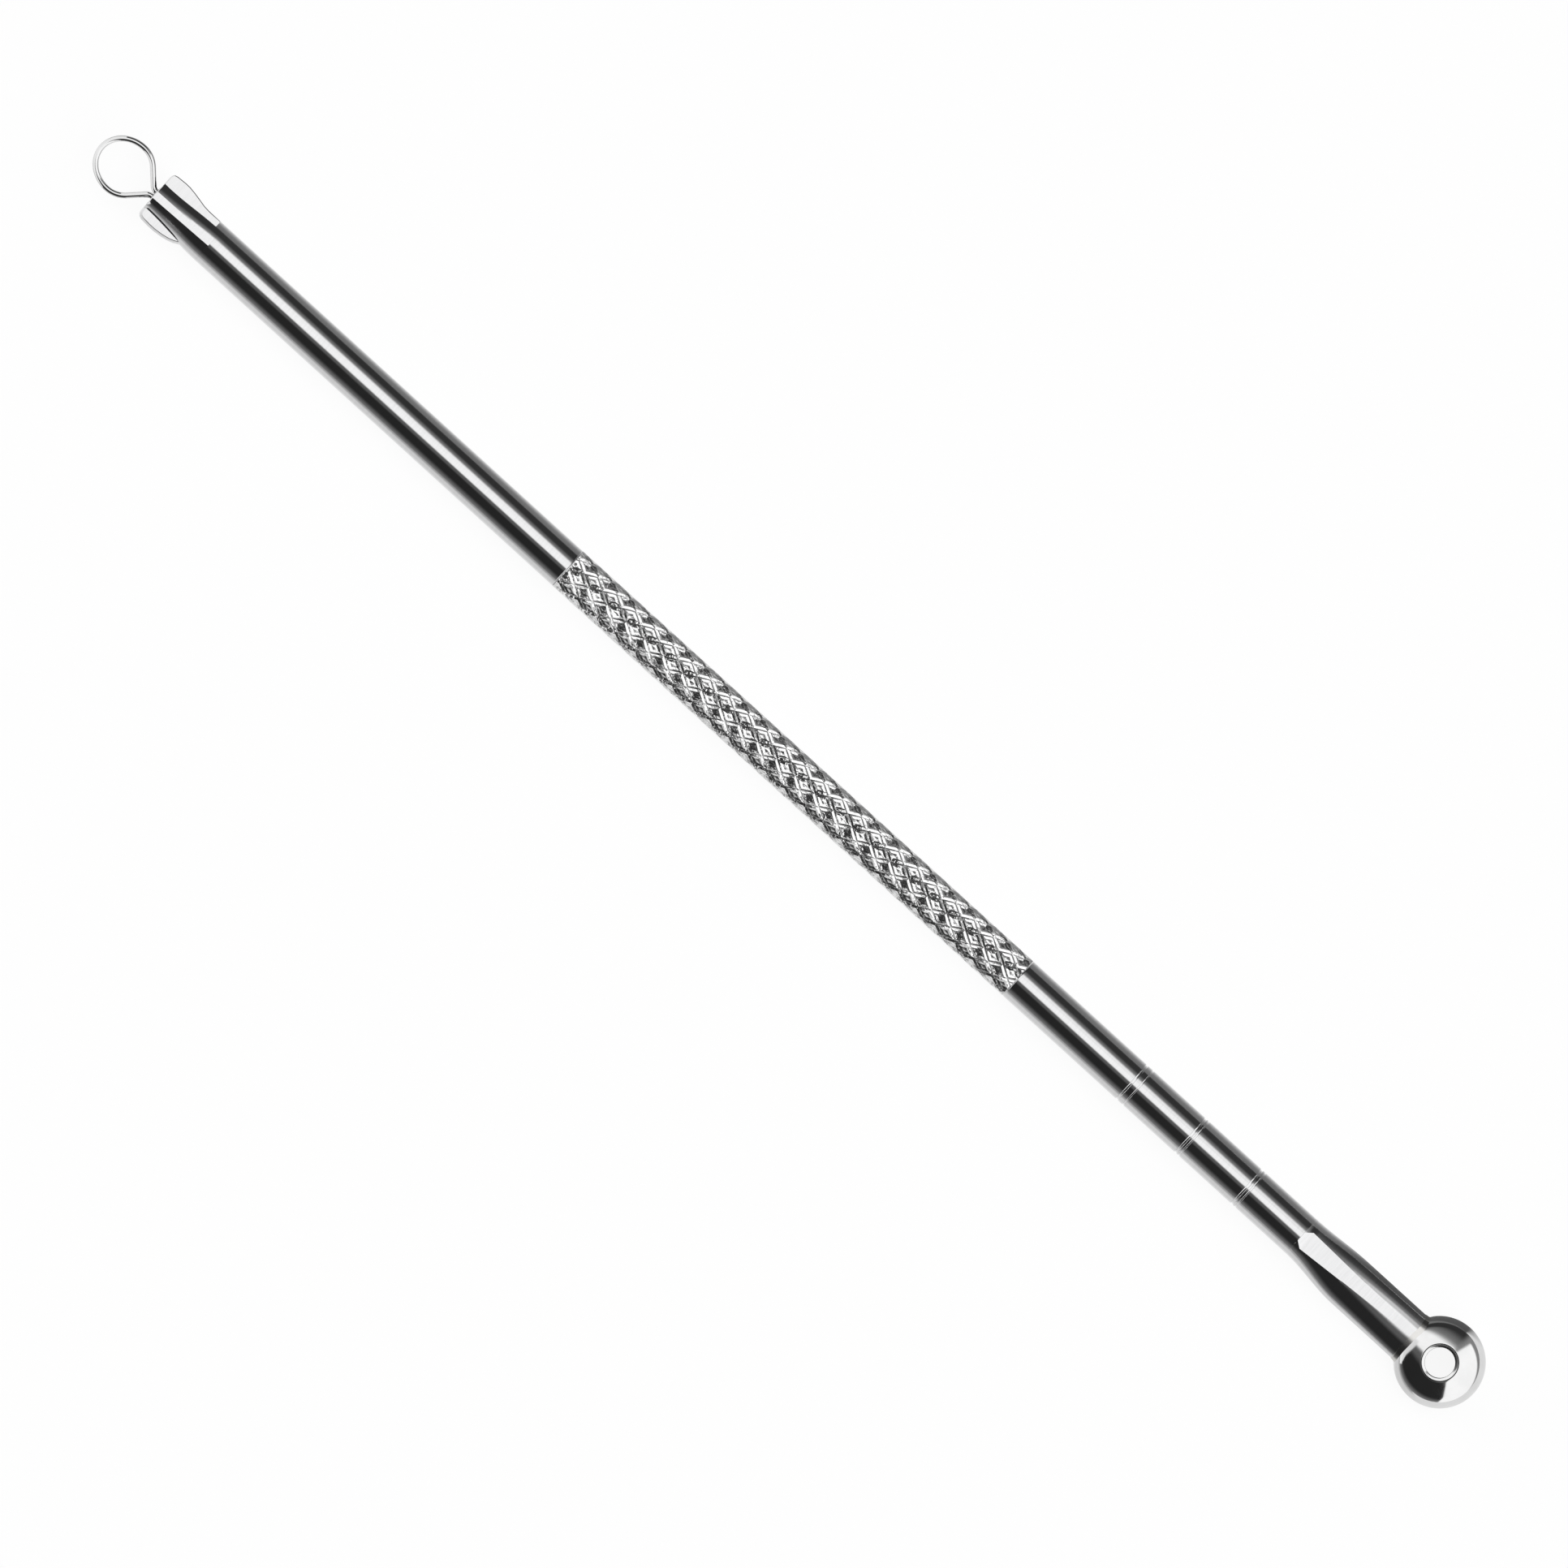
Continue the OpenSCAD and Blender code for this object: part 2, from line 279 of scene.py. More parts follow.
def crimp(co):
    """Where the die moves steel of the squeezed end, or None out of its reach."""
    radius = math.hypot(co.y, co.z - axis_z)
    turn = math.atan2(abs(co.y), co.z - axis_z)
    below = turn > math.pi / 2 + 1e-4
    if below or co.x > crimp_end + 1e-7 or radius < crimp_r - edge_r - 1e-7:
        return None
    along = (co.x - bar_x) / crimp_len
    side = 1 if co.y >= 0 else -1
    half = mix(flat_front[side], flat_back, along)
    crease = mix(crease_front[side], crease_back, along)
    edge_z = math.sqrt(radius**2 - mix(flat_front[-1], flat_back, along) ** 2)
    y, z = press(turn, 0, half, edge_z, radius, crease)
    if turn <= flat_turn:
        z -= lean * side * y
    return co.x, side * y, axis_z + z


print("vertices under the die:", reshape(bar, crimp))

# %% [markdown]
# ## The knurled grip
#
# A knurl is rolled into a rod by two toothed wheels that run at opposite
# angles, so it is one small diamond repeated all round. Each wheel presses
# narrow grooves, and the steel between them stands as a sharp rim at the level
# of the rod round a shallow dish. The diamond is modelled flat, from its border
# inwards: the side of the groove, the rim, the slope behind it and the field,
# which rises a little to its middle. Rows of it make a flat sheet, which a bend
# then rolls into a tube, as the real wheels roll round the real rod.

# %% One diamond
knurl_starts = 9
knurl_rows = 24
groove_deep = 0.078 * mm
groove_wide = 0.13 * mm
top_wide = 0.015 * mm
field_deep = 0.055 * mm
slope_wide = 0.14 * mm
field_rise = 0.014 * mm
cell_x = 1.65 * mm
cell_z = 2 * math.pi * shaft_r / knurl_starts

knurl = begin("knurl")
bpy.ops.mesh.primitive_circle_add(
    vertices=16, radius=1, fill_type="NGON", rotation=(math.pi / 2, 0, 0)
)
straight = bmesh.from_edit_mesh(knurl.data)
for v in straight.verts:
    v.co *= 1 / (abs(v.co.x) + abs(v.co.z))
bmesh.update_edit_mesh(knurl.data)
bpy.ops.transform.resize(value=(cell_x / 2, 1, cell_z / 2), center_override=(0, 0, 0))
bpy.ops.transform.translate(value=(0, groove_deep, 0))
for width, rise in ((groove_wide, groove_deep), (top_wide, 0.0), (slope_wide, -field_deep)):
    bpy.ops.mesh.inset(thickness=width, use_even_offset=True)
    bpy.ops.transform.translate(value=(0, -rise, 0))
bpy.ops.mesh.poke(offset=field_rise)
rest()
print("one diamond:", len(knurl.data.polygons), "faces,", cell_x / mm, "by", round(cell_z / mm, 3))


# %% Rows of diamonds
def repeat(piece, count, step):
    """Array the piece and apply it."""
    rest()
    piece.select_set(True)
    bpy.context.view_layer.objects.active = piece
    array = piece.modifiers.new("rows", "ARRAY")
    array.count = count
    array.use_relative_offset = False
    array.use_constant_offset = True
    array.constant_offset_displace = step
    bpy.ops.object.modifier_apply(modifier=array.name)


repeat(knurl, 2, (cell_x / 2, 0, cell_z / 2))
repeat(knurl, knurl_rows + 1, (cell_x, 0, 0))
repeat(knurl, knurl_starts, (0, 0, cell_z))
edit(knurl)
bpy.ops.mesh.select_all(action="SELECT")
bpy.ops.mesh.remove_doubles(threshold=1e-6)
first_x = knurl_x - 0.4 * cell_x
bpy.ops.transform.translate(value=(first_x, 0, -knurl_starts * cell_z / 2))
rest()
print("flat sheet:", len(knurl.data.polygons), "faces")

# %% [markdown]
# The grip begins and ends abruptly. The sheet is cut at both ends, and cut once
# more just inside, so that only its very edge is brought level with the rod.
# Then every vertex is nudged a little at random, because no two real diamonds
# are alike.

# %% Ends and unevenness
end_width = 0.04 * mm
unevenness = 0.008 * mm
edit(knurl)
for cut_x, outward, drop in (
    (knurl_x, -1, True),
    (knurl_end, 1, True),
    (knurl_x + end_width, -1, False),
    (knurl_end - end_width, 1, False),
):
    bpy.ops.mesh.select_all(action="SELECT")
    bpy.ops.mesh.bisect(
        plane_co=(cut_x, 0, 0),
        plane_no=(outward, 0, 0),
        clear_outer=drop,
        threshold=1e-7,
    )
pick(lambda co: knurl_x + end_width < co.x < knurl_end - end_width)
bpy.ops.transform.vertex_random(offset=unevenness, seed=7)
pick(lambda co: co.x < knurl_x + 1e-6 or co.x > knurl_end - 1e-6)
bpy.ops.transform.resize(value=(1, 0, 1), center_override=(0, 0, 0))
pick(lambda co: co.y < 0)
bpy.ops.transform.resize(value=(1, 0, 1), center_override=(0, 0, 0))
rest()

# %% Roll the sheet into a tube
knurl_turn = math.radians(-10)
knurl.select_set(True)
bpy.context.view_layer.objects.active = knurl
bend = knurl.modifiers.new("roll", "SIMPLE_DEFORM")
bend.deform_method = "BEND"
bend.deform_axis = "X"
bend.angle = knurl.dimensions.z / shaft_r
bpy.ops.object.modifier_apply(modifier=bend.name)
edit(knurl)
bpy.ops.mesh.select_all(action="SELECT")
bpy.ops.transform.translate(value=(0, -shaft_r, axis_z))
bpy.ops.mesh.remove_doubles(threshold=0.02 * mm)
bpy.ops.transform.rotate(value=knurl_turn, orient_axis="X", center_override=(0, 0, axis_z))
rest()
around = [math.hypot(v.co.y, v.co.z - axis_z) / mm for v in knurl.data.vertices]
print("knurl radius from", round(min(around), 3), "to", round(max(around), 3), "mm")

# %% [markdown]
# ## The rear of the bar
#
# Three pairs of fine grooves are turned into the rod behind the grip, in each
# pair a wider one and a finer one beside it, and no two pairs are spaced alike.
# Each is a small arc in the list of rings. Behind them the rod runs on to the
# neck, which is drawn round here and pressed in the next step.

# %% Rings and neck, still round
ring_x = bar_x + 85.95 * mm
ring_pitch = 5 * mm
neck_x = bar_x + 100.45 * mm
neck_len = 9.7 * mm
ramp_len = 0.45 * mm
neck_spare = 0.3 * mm
end_inset = 0.3 * mm
pairs = ((-0.33 * mm, 0.2 * mm), (-0.19 * mm, 0.08 * mm), (-0.26 * mm, 0.04 * mm))
half_widths = (0.1 * mm, 0.07 * mm)
depths = (0.06 * mm, 0.04 * mm)

stations = [(knurl_end + seam_gap, shaft_r), (knurl_end + support, shaft_r)]
for i, pair in enumerate(pairs):
    for shift, half, depth in zip(pair, half_widths, depths):
        middle = ring_x + i * ring_pitch + shift
        for k in range(-5, 6):
            share = k / 5
            deep = depth * math.sqrt(1 - share * share)
            stations.append((middle + share * half, shaft_r - deep))
stations.append((neck_x - support, shaft_r))
stations.append((neck_x - 0.02 * mm, shaft_r))
for i in range(5):
    stations.append((neck_x + ramp_len * i / 4, shaft_r))
ring_end = neck_x + neck_len + neck_spare
for i in range(1, 31):
    stations.append((mix(neck_x + ramp_len, ring_end, i / 30), shaft_r))

rear = begin("rear")
draw_ring(*stations[0])
run(stations)
bpy.ops.mesh.edge_face_add()
for _ in range(3):
    bpy.ops.mesh.inset(thickness=end_inset)
rest()
print("rear of the bar:", len(stations), "rings")

# %% [markdown]
# ## Pressing the neck
#
# The same die presses the neck. Its flat starts as a short ramp with a round
# tongue and gets narrower towards the cup, while the rod is spread to the
# sides and thinned. The edges of the flat are sharp at the front and fade
# towards the cup, because the crease of the section goes down to zero.

# %% Press the neck
tongue_half = 0.34 * mm
flat_upper = (0.72 * mm, 0.42 * mm)
flat_lower = (0.7 * mm, -0.02 * mm)
spread_upper = 1.68 * mm
spread_lower = 1.9 * mm
flare_len = 4.3 * mm
neck_b = 1.0 * mm


def section(s, turn):
    """Where the die puts the steel at station s that was at this turn from the top."""
    side = -1 if turn < 0 else 1
    turn = abs(turn)
    under = turn > math.pi / 2
    turn = math.pi - turn if under else turn
    along = max(0, s) / neck_len
    opened = min(1, max(0, s) / ramp_len)
    upper = mix(tongue_half, mix(*flat_upper, along), opened)
    lower = mix(tongue_half, mix(*flat_lower, along), opened)
    ramp_z = math.sqrt(shaft_r**2 - tongue_half**2)
    full_z = math.sqrt(shaft_r**2 - flat_upper[0] ** 2)
    thinned = max(0, s - ramp_len) / (neck_len - ramp_len)
    top = mix(mix(ramp_z, full_z, opened), neck_b, thinned)
    edge, spread = (upper, spread_upper) if side > 0 else (lower, spread_lower)
    inner = side * (upper - lower) / 2
    crease = math.asin(mix(tongue_half, flat_upper[0], opened) / shaft_r) * (1 - ease(along))
    reach = mix(shaft_r, spread, ease(s / flare_len))
    y, z = press(turn, inner, edge, top, reach, crease)
    return side * y, -z if under else z


def neck(co):
    """Where the die moves steel of the neck, or None in front of it."""
    s = co.x - neck_x
    if s <= -0.001 * mm:
        return None
    y, z = section(s, math.atan2(co.y, co.z - axis_z))
    share = math.hypot(co.y, co.z - axis_z) / shaft_r
    return co.x, y * share, axis_z + z * share


print("vertices moved by the die:", reshape(rear, neck))

# %% [markdown]
# The end of the neck is brazed to the cup and follows its outside, so the end
# face is pushed back onto the cup's outline, a little into its wall.

# %% End of the neck on the cup
cup_x = bar_x + 112.6 * mm
cup_r = 3.0 * mm
cup_wall = 0.45 * mm
crown_r = 4.75 * mm
crown_z = -1.65 * mm
shoulder_r = 1.4 * mm
shoulder_x = 1.6 * mm
shoulder_z = 1.29321 * mm
turn_a = math.radians(28.5295)
sink = 0.12 * mm


def cup_reach(z):
    """Radius of the cup's outside at a height above the floor."""
    if z <= shoulder_z:
        return cup_r
    up = z - shoulder_z
    if up < shoulder_r * math.cos(turn_a):
        return shoulder_x + math.sqrt(shoulder_r**2 - up**2)
    return math.sqrt(max(0, crown_r**2 - (z - crown_z) ** 2))


def on_cup(y, z):
    """Station at which a line along the bar meets the cup."""
    return cup_x - math.sqrt(max(0, cup_reach(z) ** 2 - y * y))


def meet_cup(co):
    """Where the last rings of the neck go: the end face onto the cup, the others not past it."""
    if co.x <= neck_x + neck_len - 0.5 * mm:
        return None
    limit = on_cup(co.y, co.z) + sink
    x = limit if co.x > ring_end - 1e-6 else min(co.x, limit)
    return x, co.y, co.z


print("vertices at the end of the neck:", reshape(rear, meet_cup))

# %% Join the three lengths into one bar
for part in (bar, knurl, rear):
    smooth(part, 12)
for part in (knurl, rear, bar):
    part.select_set(True)
bpy.context.view_layer.objects.active = bar
bpy.ops.object.join()
edit(bar)
for seam_x in (knurl_x, knurl_end):
    mesh = bmesh.from_edit_mesh(bar.data)
    for e in mesh.edges:
        near = all(abs(v.co.x - seam_x) < 0.05 * mm for v in e.verts)
        e.select_set(near and e.is_boundary)
    bmesh.update_edit_mesh(bar.data)
    bpy.ops.mesh.bridge_edge_loops()
    bpy.ops.mesh.select_all(action="DESELECT")
mesh = bmesh.from_edit_mesh(bar.data)
print("open edges left:", sum(not e.is_manifold for e in mesh.edges))

# %% [markdown]
# ## The ears of the crimp
#
# Squeezing the drilled end pushed steel out on both sides into two flat ears.
# They aren't quite alike: one is even and rises towards the rear, the other
# slopes off towards its rim. Each is traced as a line round its outline,
# filled, given its thickness, inset where it has a slope, and bevelled.

# %% Ears
ear_low = axis_z - 0.55 * mm
ear_rise = 0.065
near_ear = [
    (0.0, 0.2), (0.0, 1.45), (0.04, 1.6), (0.14, 1.72), (0.34, 1.78), (1.0, 1.82),
    (1.4, 1.81), (1.88, 1.74), (2.49, 1.62), (2.9, 1.53), (3.4, 1.49), (4.33, 1.49),
    (4.36, 1.3), (4.36, 0.2),
]
far_ear = [
    (0.0, -0.2), (0.0, -1.42), (0.05, -1.64), (0.18, -1.8), (0.4, -1.88), (1.0, -1.92),
    (1.5, -1.92), (2.1, -1.86), (2.6, -1.76), (3.0, -1.62), (3.3, -1.46), (3.4, -1.36),
    (3.4, -0.2),
]


def draw_ear(name, outline, thick, slope, rim):
    """A plate of that outline, with a slope of (width, height) and bevelled rims."""
    ear = begin(name)
    points = [(bar_x + x * mm, y * mm, ear_low) for x, y in outline]
    trace(points, closed=True)
    bpy.ops.mesh.edge_face_add()
    bpy.ops.mesh.extrude_region_move(TRANSFORM_OT_translate={"value": (0, 0, thick)})
    if slope:
        bpy.ops.mesh.inset(thickness=slope[0])
        bpy.ops.transform.translate(value=(0, 0, slope[1]))
        thick += slope[1]
    for level in (ear_low, ear_low + thick):
        pick(lambda co: abs(co.z - level) < 1e-6)
        bpy.ops.mesh.bevel(offset=rim, segments=4, profile=0.5, affect="EDGES")
        pick(lambda co: abs(co.z - level) < 1e-7)
        bpy.ops.mesh.inset(thickness=0.015 * mm)
    rest()
    print(name, len(ear.data.polygons), "faces")
    return ear


ears = [
    draw_ear("ear_near", near_ear, 1.33 * mm, None, 0.08 * mm),
    draw_ear("ear_far", far_ear, 0.75 * mm, (0.16 * mm, 0.35 * mm), 0.03 * mm),
]

# %% Raise the near ear towards the rear
def raised(co):
    """The top of the ear, higher towards the rear."""
    if co.z <= axis_z:
        return None
    return co.x, co.y, co.z + ear_rise * (co.x - bar_x)


print("vertices raised on the near ear:", reshape(ears[0], raised))

# %% Add the ears to the bar
for ear in ears:
    smooth(ear, 30)
for part in (*ears, bar):
    part.select_set(True)
bpy.context.view_layer.objects.active = bar
bpy.ops.object.join()
finish(bar, "handle_bar")

# %% [markdown]
# ## The wire loop
#
# One length of 0.4 mm wire is bent into a round loop, and both ends are
# pushed into the drilled hole. Its middle line is traced point by point, the
# line becomes a curve, and the curve gets a round profile: the quickest way to
# a wire of even thickness.

# %% Wire loop
wire_r = 0.2 * mm
loop_r = 1.79 * mm
loop_reach = 2.04 * mm
loop_x = bar_x - 2.5944 * mm
leg_angle = math.radians(45)
bend_r = 0.5 * mm
leg_y = wire_r + 0.01 * mm
leg_end = bar_x + 4 * mm
bend_x = bar_x - 0.08 * mm
loop_y = -0.1 * mm

leg = [(leg_end, leg_y)]
for i in range(11):
    turn = leg_angle * i / 10
    leg.append((bend_x - bend_r * math.sin(turn), leg_y + bend_r * (1 - math.cos(turn))))
round_part = []
first = math.pi / 2 - leg_angle
for i in range(89):
    turn = first + (2 * math.pi - 2 * first) * i / 88
    reach = loop_reach if math.cos(turn) < 0 else loop_r
    round_part.append((loop_x + reach * math.cos(turn), loop_r * math.sin(turn)))
path = leg + round_part + [(x, -y) for x, y in reversed(leg)]

wire = begin("wire_loop")
trace([(x, loop_y + y, axis_z) for x, y in path])
rest()
wire.select_set(True)
bpy.context.view_layer.objects.active = wire
bpy.ops.object.convert(target="CURVE")
wire = bpy.context.object
wire.data.bevel_depth = wire_r
wire.data.bevel_resolution = 6
wire.data.use_fill_caps = True
bpy.ops.object.convert(target="MESH")
wire = bpy.context.object
wire.name = "wire_loop"
smooth(wire, 40)
finish(wire, "wire_loop")

# %% [markdown]
# ## The solder in the mouth of the hole
#
# Solder fills the hole round the two legs of the wire and swells out a little
# at the mouth.

# %% Solder
swell = 0.07 * mm
solder_gap = 0.005 * mm
solder = begin("loop_solder")
draw_ring(bar_x + bore_len, bore_r - solder_gap, fill="NGON")
pull(-bore_len - solder_gap)
for i in range(1, 7):
    turn = math.radians(15 * i)
    last = math.radians(15 * (i - 1))
    step = swell * (math.sin(turn) - math.sin(last))
    pull(-step, max(0.03, math.cos(turn)) / math.cos(last))
smooth(solder, 50)
finish(solder, "loop_solder")

# %% [markdown]
# ## The cup
#
# The cup is pressed from sheet steel: a shallow dome, a round shoulder and a
# short skirt, with a bevelled hole in the crown. Half of its section is traced
# and spun round the upright axis.

# %% Cup
hole_r = 0.99 * mm
lip_w = 0.26 * mm
lip_depth = 0.1 * mm
rim_r = 0.12 * mm


def crown_height(radius, grow=0.0):
    """Height of the dome at a distance from its axis."""
    return crown_z + math.sqrt((crown_r + grow) ** 2 - radius**2)


def cup_line(grow, low, inner):
    """Points of the cup's outline from its rim to the hole, as (radius, height)."""
    line = [(cup_r + grow, low)]
    for i in range(1, 5):
        line.append((cup_r + grow, low + (shoulder_z - low) * i / 5))
    for i in range(25):
        turn = math.pi / 2 - (math.pi / 2 - turn_a) * i / 24
        reach = shoulder_r + grow
        line.append((shoulder_x + reach * math.sin(turn), shoulder_z + reach * math.cos(turn)))
    first = line[-1][0]
    for i in range(1, 17):
        radius = first + (inner - first) * i / 16
        line.append((radius, crown_height(radius, grow)))
    return line


outside = cup_line(0, rim_r, hole_r + lip_w + 0.02 * mm)
lip_top = crown_height(hole_r + lip_w)
lip = [
    (hole_r + lip_w + 0.005 * mm, lip_top - 0.004 * mm),
    (hole_r + lip_w - 0.07 * mm, lip_top - 0.105 * mm),
    (hole_r + 0.05 * mm, lip_top - lip_depth - 0.02 * mm),
    (hole_r + 0.015 * mm, lip_top - lip_depth - 0.04 * mm),
    (hole_r, lip_top - lip_depth - 0.07 * mm),
]
inside = cup_line(-cup_wall, rim_r, hole_r + 0.02 * mm)
edge = [(hole_r, inside[-1][1] + 0.02 * mm)]
rim = []
middle_r = cup_r - cup_wall / 2
for i in range(1, 8):
    turn = math.pi * i / 8
    rim.append((middle_r - cup_wall / 2 * math.cos(turn), rim_r - rim_r * math.sin(turn)))
half = outside + lip + edge + inside[::-1] + rim

cup = begin("cup_head")
trace([(cup_x + r, 0, z) for r, z in half], closed=True)
bpy.ops.mesh.select_all(action="SELECT")
bpy.ops.mesh.spin(
    steps=144,
    angle=2 * math.pi,
    center=(cup_x, 0, 0),
    axis=(0, 0, 1),
    use_auto_merge=True,
)
bpy.ops.mesh.select_all(action="SELECT")
bpy.ops.mesh.remove_doubles(threshold=1e-7)
smooth(cup, 25)
finish(cup, "cup_head")

# %% [markdown]
# ## The braze
#
# Braze fills the joint between the neck and the cup and flares out to a hollow
# fillet. It is pulled as a short round plug, and its rings are then moved by
# the same die: each gets the last section of the neck, grown a little, and is
# laid at its distance in front of the cup's outline.

# %% Braze
plug_step = 0.1 * mm
fillet = (
    (-0.4, 0.8), (-0.3, 0.98), (-0.28, 1.012), (-0.23, 1.02), (-0.16, 1.022),
    (-0.08, 1.028), (-0.03, 1.04), (0.0, 1.055), (0.02, 1.05), (0.1, 0.95),
)
braze_x = neck_x + neck_len
braze = begin("cup_braze")
draw_ring(braze_x, 1.0 * mm, fill="NGON")
for _ in fillet[1:]:
    pull(plug_step)
mesh = bmesh.from_edit_mesh(braze.data)
for v in mesh.verts:
    offset, grown = fillet[round((v.co.x - braze_x) / plug_step)]
    y, z = section(neck_len, math.atan2(v.co.y, v.co.z - axis_z))
    v.co.y = y * grown
    v.co.z = axis_z + z * grown
    v.co.x = on_cup(v.co.y, v.co.z) + offset * mm
bmesh.update_edit_mesh(braze.data)
bpy.ops.mesh.edge_face_add()
smooth(braze, 25)
finish(braze, "cup_braze")


# %% [markdown]
# ## Materials
#
# All the steel is polished, but never perfect: it has a fine grain and a
# slightly uneven gloss. On the bar the polishing wheel left fine lines that run
# round it, which come from noise squeezed along the bar.

# %% Helpers for nodes
def maths(nodes, links, operation, first, second=0.0, clamp=False):
    """A maths node between two outputs or numbers."""
    node = nodes.new("ShaderNodeMath")
    node.operation = operation
    node.use_clamp = clamp
    for socket, value in zip(node.inputs, (first, second)):
        if isinstance(value, (int, float)):
            socket.default_value = value
        else:
            links.new(value, socket)
    return node.outputs["Value"]


def fade(nodes, links, value, low, high):
    """0 below low, 1 above high, and a smooth step between."""
    node = nodes.new("ShaderNodeMapRange")
    node.interpolation_type = "SMOOTHSTEP"
    node.inputs["From Min"].default_value = low
    node.inputs["From Max"].default_value = high
    links.new(value, node.inputs["Value"])
    return node.outputs["Result"]


def grey_ramp(nodes, links, value, stops):
    """A colour ramp of greys at the given places."""
    node = nodes.new("ShaderNodeValToRGB")
    ramp = node.color_ramp
    ramp.elements.remove(ramp.elements[1])
    for i, (place, level) in enumerate(stops):
        stop = ramp.elements[0] if i == 0 else ramp.elements.new(place)
        stop.position = place
        stop.color = (level, level, level, 1)
    links.new(value, node.inputs["Fac"])
    return node.outputs["Color"]


def object_place(nodes, links):
    """The place on the object, and its X, Y and Z."""
    place = nodes.new("ShaderNodeTexCoord").outputs["Object"]
    axes = nodes.new("ShaderNodeSeparateXYZ")
    links.new(place, axes.inputs["Vector"])
    return place, axes.outputs


def noise(nodes, links, place, scale, detail):
    """A noise over the place, its scale counted per metre."""
    node = nodes.new("ShaderNodeTexNoise")
    node.inputs["Scale"].default_value = scale
    node.inputs["Detail"].default_value = detail
    links.new(place, node.inputs["Vector"])
    return node.outputs["Fac"]


# %% Steel
grain_scale = 1000
cloud_scale = 450
grain_deep = 0.01 * mm


def new_material(name):
    """An empty node material and its shader."""
    material = bpy.data.materials.new(name)
    material.use_nodes = True
    nodes = material.node_tree.nodes
    return material, nodes, material.node_tree.links, nodes["Principled BSDF"]


def steel(name, colour, gloss, stretch, bump):
    """Polished steel: a grain stretched along the object's axes, and a cloudy gloss."""
    material, nodes, links, shader = new_material(name)
    shader.inputs["Metallic"].default_value = 1.0
    place = nodes.new("ShaderNodeTexCoord")
    spread = nodes.new("ShaderNodeMapping")
    spread.inputs["Scale"].default_value = stretch
    links.new(place.outputs["Object"], spread.inputs["Vector"])
    grain = noise(nodes, links, spread.outputs["Vector"], grain_scale, 4)
    clouds = noise(nodes, links, place.outputs["Object"], cloud_scale, 3)
    tone = nodes.new("ShaderNodeMapRange")
    tone.inputs["From Min"].default_value = 0.3
    tone.inputs["From Max"].default_value = 0.7
    tone.inputs["To Min"].default_value = gloss[0]
    tone.inputs["To Max"].default_value = gloss[1]
    links.new(clouds, tone.inputs["Value"])
    links.new(tone.outputs["Result"], shader.inputs["Roughness"])
    shade = nodes.new("ShaderNodeValToRGB")
    shade.color_ramp.elements[0].position = 0.35
    shade.color_ramp.elements[0].color = (*[c * 0.95 for c in colour], 1)
    shade.color_ramp.elements[1].position = 0.65
    shade.color_ramp.elements[1].color = (*colour, 1)
    links.new(grain, shade.inputs["Fac"])
    links.new(shade.outputs["Color"], shader.inputs["Base Color"])
    relief = nodes.new("ShaderNodeBump")
    relief.inputs["Strength"].default_value = bump
    relief.inputs["Distance"].default_value = grain_deep
    links.new(grain, relief.inputs["Height"])
    links.new(relief.outputs["Normal"], shader.inputs["Normal"])
    return material


def dress(piece, material):
    """Give the whole piece one material."""
    piece.data.materials.clear()
    piece.data.materials.append(material)


bar_steel = steel("bar_steel", (0.77, 0.77, 0.775), (0.06, 0.11), (8, 0.6, 0.6), 0.08)
dress(bar, bar_steel)
loop_steel = steel("loop_wire", (0.76, 0.76, 0.76), (0.06, 0.1), (1, 1, 1), 0.08)
dress(wire, loop_steel)
cup_steel = steel("cup_steel", (0.77, 0.77, 0.77), (0.06, 0.11), (1, 1, 1), 0.05)
dress(cup, cup_steel)
solder_metal = steel("solder", (0.5, 0.5, 0.5), (0.25, 0.4), (1, 1, 1), 0.6)
dress(solder, solder_metal)
braze_metal = steel("braze", (0.72, 0.71, 0.69), (0.12, 0.22), (1, 1, 1), 0.2)
dress(braze, braze_metal)

# %% [markdown]
# The wheels leave the grip rougher than the rest of the rod. Its steel gets a
# second, coarser relief there, switched on by the place along the bar. Its
# colour is painted lighter there too, a painted light that brightens the knurl.

# %% Rougher steel and painted light on the grip
dent_scale = 4200
dent_deep = 0.05 * mm
grip_edge = 0.02 * mm
nodes = bar_steel.node_tree.nodes
links = bar_steel.node_tree.links
place, axes = object_place(nodes, links)
after_start = fade(nodes, links, axes["X"], knurl_x, knurl_x + grip_edge)
after_end = fade(nodes, links, axes["X"], knurl_end - grip_edge, knurl_end)
on_grip = maths(nodes, links, "SUBTRACT", after_start, after_end)
dents = noise(nodes, links, place, dent_scale, 2)
coarse = nodes.new("ShaderNodeBump")
coarse.inputs["Distance"].default_value = dent_deep
links.new(on_grip, coarse.inputs["Strength"])
links.new(dents, coarse.inputs["Height"])
shader = nodes["Principled BSDF"]
links.new(shader.inputs["Normal"].links[0].from_socket, coarse.inputs["Normal"])
links.new(coarse.outputs["Normal"], shader.inputs["Normal"])
# Painted light: the steel's colour on the grip is mixed towards white.
grip_painted_light = nodes.new("ShaderNodeMix")
grip_painted_light.data_type = "RGBA"
links.new(maths(nodes, links, "MULTIPLY", on_grip, 0.8), grip_painted_light.inputs["Factor"])
links.new(shader.inputs["Base Color"].links[0].from_socket, grip_painted_light.inputs["A"])
grip_painted_light.inputs["B"].default_value = (0.97, 0.97, 0.97, 1)
links.new(grip_painted_light.outputs["Result"], shader.inputs["Base Color"])
matt = maths(nodes, links, "MULTIPLY", on_grip, 0.08)
gloss = maths(nodes, links, "ADD", shader.inputs["Roughness"].links[0].from_socket, matt)
links.new(gloss, shader.inputs["Roughness"])
print("relief on the grip:", dent_deep / mm, "mm")
